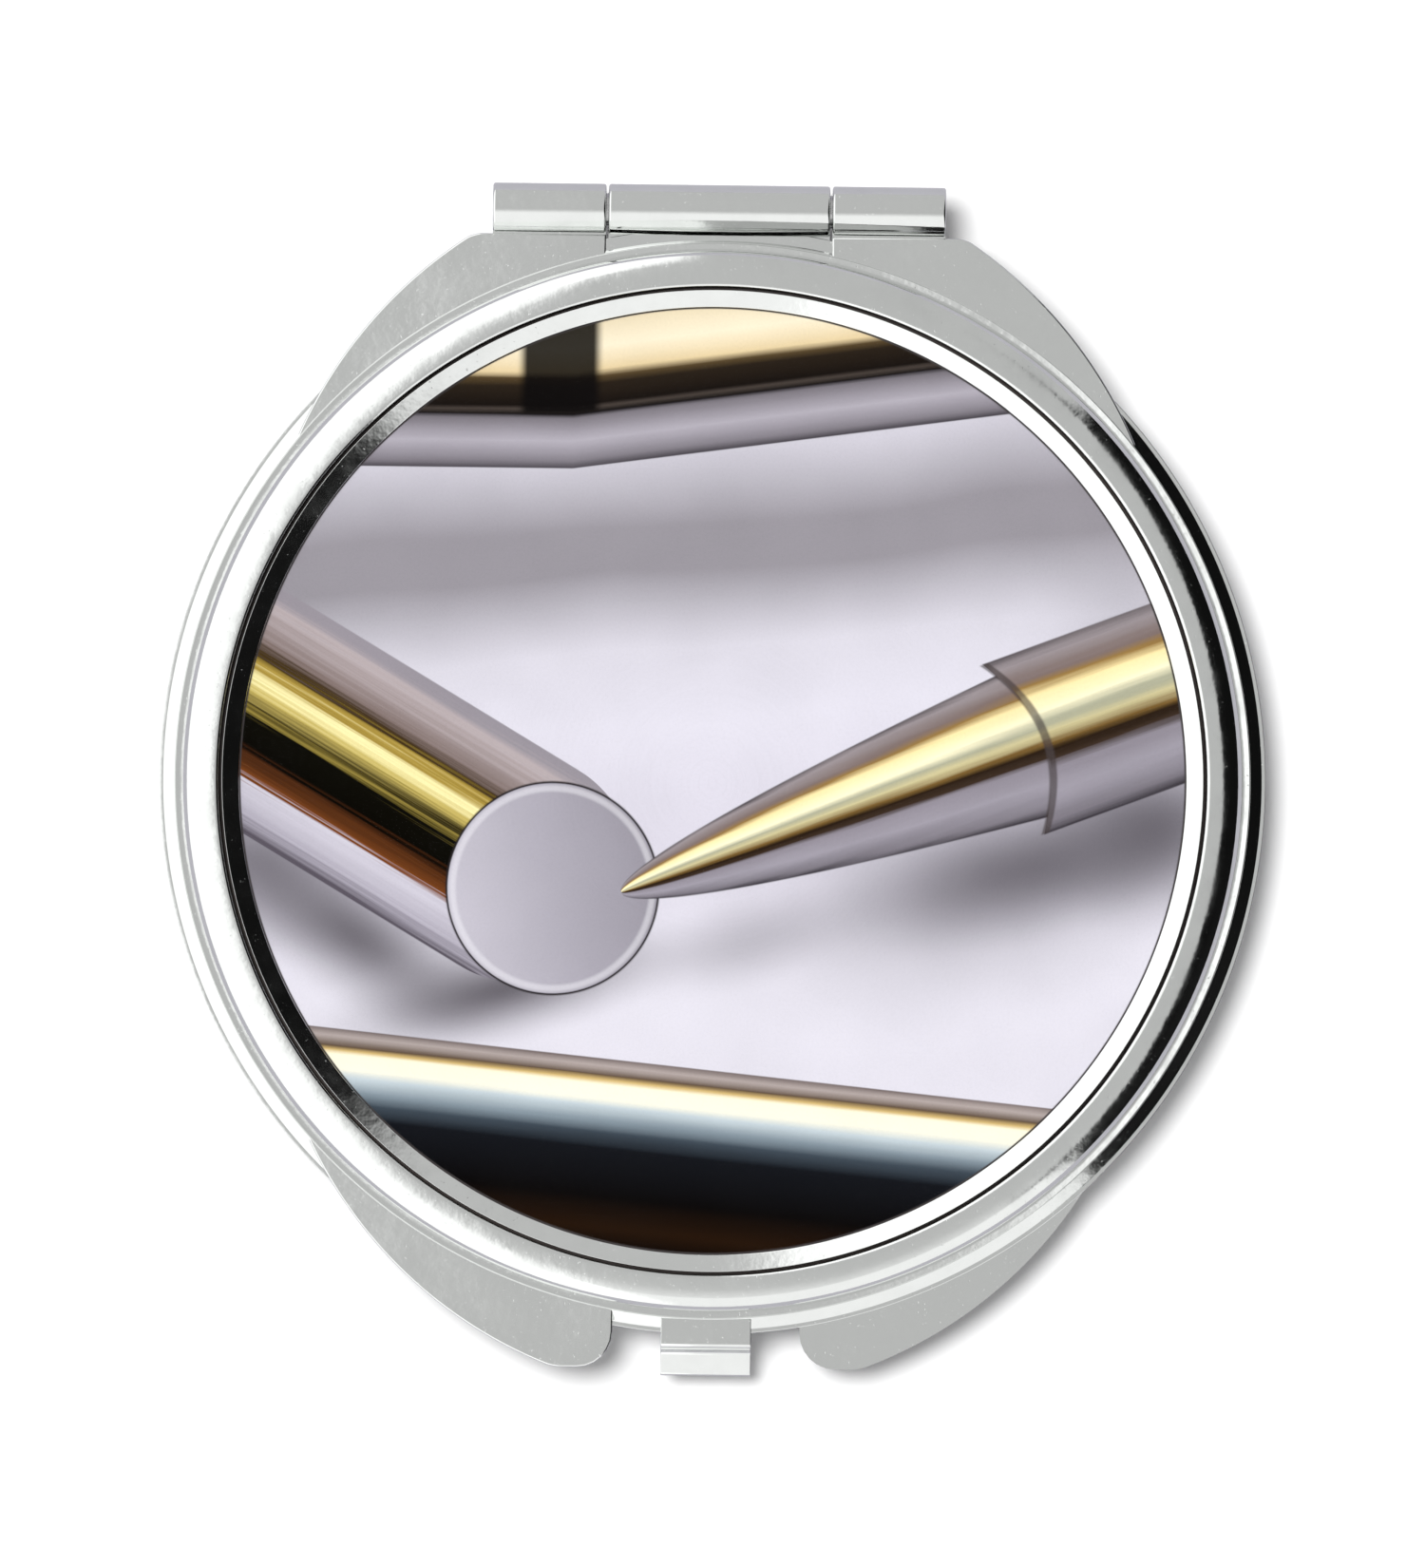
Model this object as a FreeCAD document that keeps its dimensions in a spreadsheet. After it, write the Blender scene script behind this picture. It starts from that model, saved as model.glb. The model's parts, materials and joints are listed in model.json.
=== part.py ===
import FreeCAD, Part

import math
import os
import re

import Sketcher

# A round folding pocket mirror, closed. Millimetres, +Z up, +Y towards the hinge.
# The origin lies under the middle of the case, on the surface that it stands on.
# Both halves are drawn opening side down, with height 0 on the plane where they meet. The lid
# is lifted to that plane, and the base is turned over about the Y axis below it.

SIZES = {
    # the stamped halves
    "sheet_thickness": 0.5,
    "recess_radius": 28.95,
    "recess_depth": 1.1,
    "ring_width": 2.1,
    "ring_rounding": 0.8,
    "recess_rounding": 0.2,
    "flange_width": 1.45,
    "seam_gap": 0.1,
    "plate_rise": 0.7,
    "groove_width": 0.55,
    "groove_floor_width": 0.15,
    "groove_depth": 0.25,
    "crest_width": 0.15,
    "curl_width": 0.55,
    "curl_drop": 0.4,
    # the hinge shoulders
    "back_inset": 0.5,
    "shoulder_half_width": 14.45,
    "shoulder_sweep": 22.5,
    "shoulder_rounding": 1.5,
    "web_rounding": 3.5,
    # the thumb wing
    "wing_overhang": 2.0,
    "wing_sweep": 24.4,
    "wing_inner_edge": 5.5,
    "wing_tip_edge": 9.0,
    "wing_rounding": 2.2,
    # the hinge
    "knuckle_radius": 1.5,
    "centre_knuckle_length": 13.0,
    "side_knuckle_length": 6.65,
    "knuckle_gap": 0.15,
    "knuckle_rounding": 0.15,
    "hinge_clearance": 0.25,
    "pin_radius": 0.95,
    "pin_clearance": 0.05,
    "pin_inset": 0.1,
    # the latch tab
    "latch_width": 5.3,
    "latch_overhang": 2.5,
    "latch_lip": 1.5,
    "latch_slope_run": 0.3,
    "latch_slope_fall": 1.6,
    "latch_rounding": 0.3,
    "latch_side_gap": 0.35,
    "catch_inset": 0.6,
    # the picture insert
    "bezel_gap": 0.2,
    "bezel_width": 1.0,
    "bezel_wall": 0.5,
    "bezel_lip": 0.26,
    "bezel_rounding": 0.45,
    "bezel_inner_rounding": 0.2,
    "insert_play": 0.15,
    "adhesive_inset": 0.6,
    "adhesive_thickness": 0.15,
    "insert_plate_thickness": 0.35,
    "print_thickness": 0.12,
    "cover_thickness": 0.12,
    # the mirrors
    "mirror_thickness": 1.2,
    "magnifier_sag": 0.5,
    "pad_thickness": 0.2,
    "least_pad_thickness": 0.1,
    "pad_inset": 1.7,
    "lip_inset": 0.1,
    "lip_thickness": 0.4,
    "lip_cover": 0.8,
    "mirror_ring_wall": 2.1,
    "mirror_play": 0.15,
    "ring_play": 0.1,
}

# Places that several pieces share, as formulas on the sheet. Heights are above the seam.
RING_RADIUS = "(recess_radius + ring_width)"
CAVITY_RADIUS = f"({RING_RADIUS} - sheet_thickness)"
CREST_RADIUS = f"({RING_RADIUS} + groove_width)"
RIM_RADIUS = f"({RING_RADIUS} + flange_width)"
BACK_EDGE = f"({RIM_RADIUS} - back_inset)"
HINGE_LINE = f"({BACK_EDGE} + knuckle_radius)"
PLATE_UNDERSIDE = "(plate_rise - sheet_thickness)"

LIP_FACE = "(seam_gap + lip_inset)"
MIRROR_FACE = f"({LIP_FACE} + lip_thickness)"
MIRROR_BACK = f"({MIRROR_FACE} + mirror_thickness)"
FLOOR_UNDERSIDE = f"({MIRROR_BACK} + pad_thickness)"
FLOOR_TOP = f"({FLOOR_UNDERSIDE} + sheet_thickness)"
RING_TOP = f"({FLOOR_TOP} + recess_depth)"

MIRROR_SEAT = f"({CAVITY_RADIUS} - ring_play - mirror_ring_wall)"
MIRROR_RADIUS = f"({MIRROR_SEAT} - mirror_play)"
PAD_RADIUS = f"({MIRROR_RADIUS} - pad_inset)"
BOW_RADIUS = f"(({MIRROR_RADIUS}^2 + magnifier_sag^2) / (2 * magnifier_sag))"
BOW_DEPTH = f"({MIRROR_FACE} + magnifier_sag)"
BOW_THICKNESS = f"({FLOOR_UNDERSIDE} - least_pad_thickness - {BOW_DEPTH})"

BEZEL_OUTER = "(recess_radius - bezel_gap)"
BEZEL_WALL_INNER = f"({BEZEL_OUTER} - bezel_wall)"
BEZEL_INNER = f"({BEZEL_OUTER} - bezel_width)"
INSERT_RADIUS = f"({BEZEL_WALL_INNER} - insert_play)"
PLATE_BASE = f"({FLOOR_TOP} + adhesive_thickness)"
PRINT_BASE = f"({PLATE_BASE} + insert_plate_thickness)"
COVER_BASE = f"({PRINT_BASE} + print_thickness)"
COVER_TOP = f"({COVER_BASE} + cover_thickness)"
BEZEL_TOP = f"({COVER_TOP} + bezel_lip)"

SIDE_VIEW = "YZ_Plane"
FRONT_VIEW = "XZ_Plane"
TOP_VIEW = "XY_Plane"
ORIGIN = -1
X_AXIS = -1
Y_AXIS = -2
START, END, CENTRE = 1, 2, 3
REACH = 100.0
TOLERANCE = 1e-4
TURNED_OVER = FreeCAD.Rotation(FreeCAD.Vector(0, 1, 0), 180)

doc = FreeCAD.newDocument("compact_mirror")
sheet = doc.addObject("Spreadsheet::Sheet", "sizes")
for row, (alias, size) in enumerate(SIZES.items(), start=1):
    sheet.set(f"A{row}", alias)
    sheet.set(f"B{row}", str(size))
    sheet.setAlias(f"B{row}", alias)
doc.recompute()


def value(formula):
    """The number that a formula on the sheet comes to."""
    return float(sheet.evalExpression(formula))


def bind(item, name, formula):
    """Ties a property of the item to a formula on the sheet."""
    linked = re.sub(r"[a-z_]+", lambda word: prefixed(word.group()), formula)
    item.setExpression(name, linked)


def prefixed(word):
    return f"sizes.{word}" if word in SIZES else word


# Sketches


def new_body(name):
    return doc.addObject("PartDesign::Body", name)


def new_sketch(body, name, role, offset="0"):
    """A sketch on one of the body's own planes, lifted along the plane's normal."""
    sketch = body.newObject("Sketcher::SketchObject", name)
    plane = next(item for item in body.Origin.OriginFeatures if item.Role == role)
    sketch.AttachmentSupport = [(plane, "")]
    sketch.MapMode = "FlatFace"
    bind(sketch, "AttachmentOffset.Base.z", offset)
    return sketch


def fix_size(sketch, formula, kind, *places):
    """A sketch dimension that follows a formula."""
    number = sketch.addConstraint(Sketcher.Constraint(kind, *places, value(formula)))
    bind(sketch, f"Constraints[{number}]", formula)


def fix_point(sketch, edge, place, across, up):
    """Pins a point of a sketch at two formulas, measured from the origin."""
    if across == "0":
        sketch.addConstraint(Sketcher.Constraint("PointOnObject", edge, place, Y_AXIS))
    else:
        fix_size(sketch, across, "DistanceX", ORIGIN, START, edge, place)
    if up == "0":
        sketch.addConstraint(Sketcher.Constraint("PointOnObject", edge, place, X_AXIS))
    else:
        fix_size(sketch, up, "DistanceY", ORIGIN, START, edge, place)


def draw_outline(sketch, corners):
    """A closed outline of straight lines through the corners."""
    spots = [FreeCAD.Vector(value(across), value(up), 0) for across, up in corners]
    for start, end in zip(spots, spots[1:] + spots[:1]):
        sketch.addGeometry(Part.LineSegment(start, end), False)
    for edge, (across, up) in enumerate(corners):
        before = (edge - 1) % len(corners)
        sketch.addConstraint(Sketcher.Constraint("Coincident", before, END, edge, START))
        fix_point(sketch, edge, START, across, up)


def draw_circle(sketch, radius, across="0", up="0"):
    centre = FreeCAD.Vector(value(across), value(up), 0)
    circle = sketch.addGeometry(Part.Circle(centre, FreeCAD.Vector(0, 0, 1), value(radius)), False)
    fix_point(sketch, circle, CENTRE, across, up)
    fix_size(sketch, radius, "Radius", circle)


# Features


def revolve(body, name, corners):
    """Turns an outline of (radius, height) corners about the Z axis."""
    sketch = new_sketch(body, f"{name}_section", FRONT_VIEW)
    draw_outline(sketch, corners)
    feature = body.newObject("PartDesign::Revolution", name)
    feature.Profile = sketch
    feature.ReferenceAxis = (sketch, ["V_Axis"])
    feature.Angle = 360
    doc.recompute()
    return feature


def pad(body, name, sketch, length, side="One side"):
    feature = body.newObject("PartDesign::Pad", name)
    feature.Profile = sketch
    feature.SideType = side
    bind(feature, "Length", length)
    doc.recompute()
    return feature


def pocket_through(body, name, sketch):
    feature = body.newObject("PartDesign::Pocket", name)
    feature.Profile = sketch
    feature.SideType = "Symmetric"
    feature.Length = REACH
    doc.recompute()
    return feature


def round_edges(body, name, radius, chosen):
    """Rounds the edges of the body's last feature that the test chooses."""
    base = body.Tip
    edges = [f"Edge{n}" for n, edge in enumerate(base.Shape.Edges, start=1) if chosen(edge)]
    if not edges:
        raise RuntimeError(f"{name} has no edge to round")
    feature = body.newObject("PartDesign::Fillet", name)
    feature.Base = (base, edges)
    bind(feature, "Radius", radius)
    doc.recompute()
    return feature


def is_near(number, formula):
    return abs(number - value(formula)) < TOLERANCE


def is_circle(radius, height):
    """A test for the circular edge at a radius and a height."""

    def test(edge):
        if not isinstance(edge.Curve, Part.Circle):
            return False
        return is_near(edge.Curve.Radius, radius) and is_near(edge.Curve.Center.z, height)

    return test


def middle(edge):
    return edge.valueAt((edge.FirstParameter + edge.LastParameter) / 2)


def is_upright(edge):
    """True for a straight edge along Z."""
    if not isinstance(edge.Curve, Part.Line):
        return False
    return abs(edge.Curve.Direction.z) > 1 - TOLERANCE


def box(name, low, high):
    """A box between two corners, each of three formulas."""
    item = doc.addObject("Part::Box", name)
    for length, axis, start, end in zip(("Length", "Width", "Height"), "xyz", low, high):
        bind(item, length, f"{end} - ({start})")
        bind(item, f"Placement.Base.{axis}", start)
    return item


def cylinder(name, radius, low, high):
    """An upright cylinder between two heights."""
    item = doc.addObject("Part::Cylinder", name)
    bind(item, "Radius", radius)
    bind(item, "Height", f"{high} - {low}")
    bind(item, "Placement.Base.z", low)
    return item


def fuse(name, items):
    item = doc.addObject("Part::MultiFuse", name)
    item.Shapes = items
    item.Refine = True
    doc.recompute()
    return item


def cut(name, base, tool):
    item = doc.addObject("Part::Cut", name)
    item.Base = base
    item.Tool = tool
    item.Refine = True
    doc.recompute()
    return item


# The stamped halves


def cup(half):
    """The round dish: recess, raised ring and curled rim."""
    channel_radius = "recess_radius + sheet_thickness"
    crest_outer = f"{CREST_RADIUS} + crest_width"
    curl_outer = f"{CREST_RADIUS} + crest_width + curl_width"
    curl_height = "plate_rise - curl_drop"
    body = new_body(f"{half}_cup")
    corners = [
        ("0", FLOOR_UNDERSIDE),
        (channel_radius, FLOOR_UNDERSIDE),
        (channel_radius, f"{RING_TOP} - sheet_thickness"),
        (CAVITY_RADIUS, f"{RING_TOP} - sheet_thickness"),
        (CAVITY_RADIUS, "seam_gap"),
        (RIM_RADIUS, "seam_gap"),
        (RIM_RADIUS, curl_height),
        (curl_outer, curl_height),
        (crest_outer, "plate_rise"),
        (RING_RADIUS, "plate_rise"),
        (RING_RADIUS, RING_TOP),
        ("recess_radius", RING_TOP),
        ("recess_radius", FLOOR_TOP),
        ("0", FLOOR_TOP),
    ]
    revolve(body, f"{half}_dish", corners)
    round_edges(body, f"{half}_ring_outer", "ring_rounding", is_circle(RING_RADIUS, RING_TOP))
    round_edges(body, f"{half}_ring_inner", "recess_rounding", is_circle("recess_radius", RING_TOP))
    return body


def groove(half):
    """What is pressed out of the plate around the foot of the ring."""
    body = new_body(f"{half}_groove")
    floor = "plate_rise - groove_depth"
    corners = [
        (RING_RADIUS, floor),
        (f"{RING_RADIUS} + groove_floor_width", floor),
        (CREST_RADIUS, "plate_rise"),
        (RING_RADIUS, "plate_rise"),
    ]
    revolve(body, f"{half}_groove_cut", corners)
    return body


def draw_shoulders(sketch):
    """A disc cut off straight at the back edge of the plate."""
    corner = FreeCAD.Vector(value("shoulder_half_width"), value(BACK_EDGE), 0)
    centre = FreeCAD.Vector(0, value(f"{BACK_EDGE} - shoulder_sweep"), 0)
    mirrored = FreeCAD.Vector(-corner.x, corner.y, 0)
    circle = Part.Circle(centre, FreeCAD.Vector(0, 0, 1), (corner - centre).Length)
    rise = math.atan2(corner.y - centre.y, corner.x)
    back = sketch.addGeometry(Part.LineSegment(corner, mirrored), False)
    sweep = sketch.addGeometry(Part.ArcOfCircle(circle, math.pi - rise, 2 * math.pi + rise), False)
    sketch.addConstraint(Sketcher.Constraint("Coincident", back, END, sweep, START))
    sketch.addConstraint(Sketcher.Constraint("Coincident", back, START, sweep, END))
    fix_point(sketch, back, START, "shoulder_half_width", BACK_EDGE)
    sketch.addConstraint(Sketcher.Constraint("Horizontal", back))
    fix_point(sketch, sweep, CENTRE, "0", f"{BACK_EDGE} - shoulder_sweep")


def draw_wing(sketch):
    """The thumb wing, on the left: two straight edges and a sweep back to the rim."""
    tip_height = f"-({RIM_RADIUS} + wing_overhang)"
    centre_height = f"-({RIM_RADIUS} + wing_overhang - wing_sweep)"
    inner = FreeCAD.Vector(-value("wing_inner_edge"), value(centre_height), 0)
    corner = FreeCAD.Vector(inner.x, value(tip_height), 0)
    tip = FreeCAD.Vector(-value("wing_tip_edge"), corner.y, 0)
    centre = FreeCAD.Vector(0, inner.y, 0)
    radius = (tip - centre).Length
    side = FreeCAD.Vector(-radius, inner.y, 0)
    circle = Part.Circle(centre, FreeCAD.Vector(0, 0, 1), radius)
    tip_angle = math.atan2(tip.y - centre.y, tip.x) % (2 * math.pi)
    edges = [
        Part.ArcOfCircle(circle, math.pi, tip_angle),
        Part.LineSegment(tip, corner),
        Part.LineSegment(corner, inner),
        Part.LineSegment(inner, side),
    ]
    for edge in edges:
        sketch.addGeometry(edge, False)
    for edge in range(len(edges)):
        follower = (edge + 1) % len(edges)
        sketch.addConstraint(Sketcher.Constraint("Coincident", edge, END, follower, START))
    fix_point(sketch, 0, CENTRE, "0", centre_height)
    fix_point(sketch, 1, START, "-wing_tip_edge", tip_height)
    fix_point(sketch, 2, START, "-wing_inner_edge", tip_height)
    fix_point(sketch, 3, START, "-wing_inner_edge", centre_height)
    sketch.addConstraint(Sketcher.Constraint("Horizontal", 3))


def plate(half):
    """The flat plate around the ring, with the hinge shoulders and the thumb wing."""
    opening_radius = f"{CAVITY_RADIUS} + sheet_thickness / 2"
    body = new_body(f"{half}_plate")
    disc = new_sketch(body, f"{half}_plate_disc", TOP_VIEW, PLATE_UNDERSIDE)
    draw_circle(disc, f"{CREST_RADIUS} + crest_width")
    pad(body, f"{half}_disc", disc, "sheet_thickness")
    shoulders = new_sketch(body, f"{half}_shoulder_outline", TOP_VIEW, PLATE_UNDERSIDE)
    draw_shoulders(shoulders)
    pad(body, f"{half}_shoulders", shoulders, "sheet_thickness")
    wing = new_sketch(body, f"{half}_wing_outline", TOP_VIEW, PLATE_UNDERSIDE)
    draw_wing(wing)
    pad(body, f"{half}_wing", wing, "sheet_thickness")
    hole = new_sketch(body, f"{half}_plate_hole", TOP_VIEW)
    draw_circle(hole, opening_radius)
    pocket_through(body, f"{half}_opening", hole)

    def is_back_corner(edge):
        return is_upright(edge) and is_near(middle(edge).y, BACK_EDGE)

    def is_wing_tip(edge):
        return is_upright(edge) and is_near(middle(edge).y, f"-({RIM_RADIUS} + wing_overhang)")

    def is_shoulder_web(edge):
        return is_upright(edge) and middle(edge).y > 0 and not is_back_corner(edge)

    round_edges(body, f"{half}_webs", "web_rounding", is_shoulder_web)
    round_edges(body, f"{half}_back_corners", "shoulder_rounding", is_back_corner)
    round_edges(body, f"{half}_wing_tip", "wing_rounding", is_wing_tip)
    return body


def knuckle(name, start, length):
    """One rolled knuckle with the strip that joins it to the plate."""
    body = new_body(name)
    roll = new_sketch(body, f"{name}_circle", SIDE_VIEW, start)
    draw_circle(roll, "knuckle_radius", HINGE_LINE)
    pad(body, f"{name}_roll", roll, length)
    round_edges(
        body,
        f"{name}_ends",
        "knuckle_rounding",
        lambda edge: isinstance(edge.Curve, Part.Circle),
    )
    strip = new_sketch(body, f"{name}_strip", SIDE_VIEW, start)
    wall_middle = f"{HINGE_LINE} - (pin_radius + pin_clearance + knuckle_radius) / 2"
    wall_middle_low = f"{BACK_EDGE} - sheet_thickness"
    draw_outline(
        strip,
        [
            (wall_middle_low, PLATE_UNDERSIDE),
            (wall_middle, PLATE_UNDERSIDE),
            (wall_middle, "plate_rise"),
            (wall_middle_low, "plate_rise"),
        ],
    )
    pad(body, f"{name}_leaf", strip, length)
    return body


def hinge_bore(name, radius):
    """A long cylinder on the hinge line."""
    item = doc.addObject("Part::Cylinder", name)
    bind(item, "Radius", radius)
    item.Height = REACH
    item.Placement.Rotation = FreeCAD.Rotation(FreeCAD.Vector(0, 1, 0), 90)
    item.Placement.Base.x = -REACH / 2
    bind(item, "Placement.Base.y", HINGE_LINE)
    return item


def latch_tab(name):
    """The tab bent down from the lid's front edge, with a lip turned out at its foot."""
    end = f"-({RIM_RADIUS} + latch_overhang)"
    lip_start = f"{end} + latch_lip"
    slope_top = f"{lip_start} + latch_slope_run"
    lip_top = "plate_rise - latch_slope_fall"
    slant = "sheet_thickness * sqrt(latch_slope_run^2 + latch_slope_fall^2) / latch_slope_fall"
    shift = "sheet_thickness * latch_slope_run / latch_slope_fall"
    body = new_body(name)
    side = new_sketch(body, f"{name}_side", SIDE_VIEW)
    inside = f"-{CREST_RADIUS}"
    corners = [
        (inside, "plate_rise"),
        (slope_top, "plate_rise"),
        (lip_start, lip_top),
        (end, lip_top),
        (end, f"{lip_top} - sheet_thickness"),
        (f"{lip_start} + {slant} - {shift}", f"{lip_top} - sheet_thickness"),
        (f"{slope_top} + {slant} - {shift}", PLATE_UNDERSIDE),
        (inside, PLATE_UNDERSIDE),
    ]
    draw_outline(side, corners)
    pad(body, f"{name}_strip", side, "latch_width", "Symmetric")

    def is_bend(edge):
        spot = middle(edge)
        across = isinstance(edge.Curve, Part.Line) and abs(spot.x) < TOLERANCE
        upper = is_near(spot.y, slope_top) and is_near(spot.z, "plate_rise")
        lower = is_near(spot.y, lip_start) and is_near(spot.z, lip_top)
        return across and (upper or lower)

    round_edges(body, f"{name}_bends", "latch_rounding", is_bend)
    return body


def knuckle_relief(name, start, end):
    """Room for a knuckle of the other half, cut straight across the plate."""
    edge = f"{HINGE_LINE} - knuckle_radius - hinge_clearance"
    return box(name, (start, edge, f"-{RING_TOP}"), (end, f"{HINGE_LINE} + knuckle_radius", RING_TOP))


def lid_shell():
    side_start = "centre_knuckle_length / 2 + knuckle_gap"
    left_start = f"-({side_start} + side_knuckle_length)"
    pieces = [
        cup("lid"),
        plate("lid"),
        knuckle("lid_knuckle_left", left_start, "side_knuckle_length"),
        knuckle("lid_knuckle_right", side_start, "side_knuckle_length"),
        latch_tab("latch_tab"),
    ]
    notch_half = f"({side_start})"
    kept_radius = f"{HINGE_LINE} - knuckle_radius - hinge_clearance"
    gap = box(
        "centre_relief_box",
        (f"-{notch_half}", "recess_radius", f"-{RING_TOP}"),
        (notch_half, f"{HINGE_LINE} + knuckle_radius", RING_TOP),
    )
    kept = cylinder("centre_relief_core", kept_radius, f"-{RING_TOP}", RING_TOP)
    notch = cut("centre_relief", gap, kept)
    bore = hinge_bore("lid_bore", "pin_radius + pin_clearance")
    whole = fuse("lid_blank", pieces)
    return cut("lid_shell", whole, fuse("lid_cuts", [notch, bore, groove("lid")]))


def base_shell():
    half_centre = "centre_knuckle_length / 2"
    outer = f"({half_centre} + knuckle_gap + side_knuckle_length + knuckle_gap)"
    pieces = [
        cup("base"),
        plate("base"),
        knuckle("base_knuckle", f"-{half_centre}", "centre_knuckle_length"),
    ]
    latch_half = "(latch_width / 2 + latch_side_gap)"
    cuts = [
        groove("base"),
        knuckle_relief("left_relief", f"-{outer}", f"-{half_centre}"),
        knuckle_relief("right_relief", half_centre, outer),
        box(
            "catch_flat",
            (f"-{latch_half}", f"-({RIM_RADIUS} + latch_overhang)", f"-{RING_TOP}"),
            (latch_half, f"-({RIM_RADIUS} - catch_inset)", RING_TOP),
        ),
        hinge_bore("base_bore", "pin_radius"),
    ]
    whole = fuse("base_blank", pieces)
    return cut("base_shell", whole, fuse("base_cuts", cuts))


# The pin, the picture insert and the mirrors


def hinge_pin():
    body = new_body("hinge_pin")
    length = "(centre_knuckle_length + 2 * (knuckle_gap + side_knuckle_length - pin_inset))"
    section = new_sketch(body, "pin_section", SIDE_VIEW)
    draw_circle(section, "pin_radius", HINGE_LINE)
    pad(body, "pin_rod", section, length, "Symmetric")
    return body


def insert_bezel():
    """A pressed ring, hooked over the edge of the insert."""
    corners = [
        (BEZEL_WALL_INNER, FLOOR_TOP),
        (BEZEL_OUTER, FLOOR_TOP),
        (BEZEL_OUTER, BEZEL_TOP),
        (BEZEL_INNER, BEZEL_TOP),
        (BEZEL_INNER, COVER_TOP),
        (BEZEL_WALL_INNER, COVER_TOP),
    ]
    body = new_body("insert_bezel")
    revolve(body, "bezel_section", corners)
    round_edges(body, "bezel_outer", "bezel_rounding", is_circle(BEZEL_OUTER, BEZEL_TOP))
    round_edges(body, "bezel_inner", "bezel_inner_rounding", is_circle(BEZEL_INNER, BEZEL_TOP))
    return body


def mirror_ring(name):
    """A moulded ring that fills the channel and laps over the mirror's edge."""
    inner = f"{MIRROR_RADIUS} - lip_cover"
    outer = f"{CAVITY_RADIUS} - ring_play"
    body = new_body(name)
    corners = [
        (inner, LIP_FACE),
        (outer, LIP_FACE),
        (outer, FLOOR_UNDERSIDE),
        (MIRROR_SEAT, FLOOR_UNDERSIDE),
        (MIRROR_SEAT, MIRROR_FACE),
        (inner, MIRROR_FACE),
    ]
    revolve(body, f"{name}_section", corners)
    return body


def bow_ball(name, radius):
    """The ball whose skin is one face of the magnifying mirror."""
    item = doc.addObject("Part::Sphere", name)
    bind(item, "Radius", radius)
    bind(item, "Placement.Base.z", f"{BOW_DEPTH} - {BOW_RADIUS}")
    return item


def magnifying_mirror():
    """Glass bowed away from the eye, with the same thickness all over."""
    blank = cylinder("magnifier_blank", MIRROR_RADIUS, MIRROR_FACE, FLOOR_UNDERSIDE)
    front = bow_ball("magnifier_front", BOW_RADIUS)
    back = bow_ball("magnifier_back", f"{BOW_RADIUS} + {BOW_THICKNESS}")
    bowed = doc.addObject("Part::Common", "magnifier_bowed")
    bowed.Base = blank
    bowed.Tool = back
    return cut("base_mirror", bowed, front)


def magnifying_mirror_pad():
    """Foam between the bowed glass and the flat floor."""
    blank = cylinder("magnifier_pad_blank", PAD_RADIUS, MIRROR_FACE, FLOOR_UNDERSIDE)
    return cut("base_mirror_pad", blank, bow_ball("magnifier_pad_face", f"{BOW_RADIUS} + {BOW_THICKNESS}"))


def lid_disc(name, radius, low, high):
    """A flat disc in the lid, between two heights above the seam."""
    item = cylinder(name, radius, low, high)
    bind(item, "Placement.Base.z", f"{RING_TOP} + {low}")
    return item


def lift_to_seam(item, turned_over):
    """Puts a piece drawn from the seam upwards into the closed case."""
    if turned_over:
        item.Placement.Rotation = TURNED_OVER
    bind(item, "Placement.Base.z", RING_TOP)
    return item


subparts = [
    lid_disc("insert_adhesive", f"{INSERT_RADIUS} - adhesive_inset", FLOOR_TOP, PLATE_BASE),
    lid_disc("insert_plate", INSERT_RADIUS, PLATE_BASE, PRINT_BASE),
    lid_disc("print_sheet", INSERT_RADIUS, PRINT_BASE, COVER_BASE),
    lid_disc("print_cover", INSERT_RADIUS, COVER_BASE, COVER_TOP),
    lid_disc("lid_mirror_pad", PAD_RADIUS, MIRROR_BACK, FLOOR_UNDERSIDE),
    lid_disc("lid_mirror", MIRROR_RADIUS, MIRROR_FACE, MIRROR_BACK),
]
for upright_piece in (lid_shell(), insert_bezel(), mirror_ring("lid_mirror_ring"), hinge_pin()):
    subparts.append(lift_to_seam(upright_piece, turned_over=False))
turned_pieces = [
    base_shell(),
    magnifying_mirror(),
    magnifying_mirror_pad(),
    mirror_ring("base_mirror_ring"),
]
for turned_piece in turned_pieces:
    subparts.append(lift_to_seam(turned_piece, turned_over=True))
doc.recompute()

for item in doc.Objects:
    if "Invalid" in item.State or "Error" in item.State:
        raise RuntimeError(f"{item.Label} failed: {item.State}")
for item in subparts:
    if item.Shape.isNull() or not item.Shape.isValid() or len(item.Shape.Solids) != 1:
        raise RuntimeError(f"{item.Label} is not one valid solid")

os.makedirs("parts", exist_ok=True)
for item in subparts:
    item.Shape.exportStep(f"parts/{item.Label}.step")
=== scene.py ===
import json
import math

import bmesh
import bpy
from mathutils import Matrix, Vector


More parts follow.
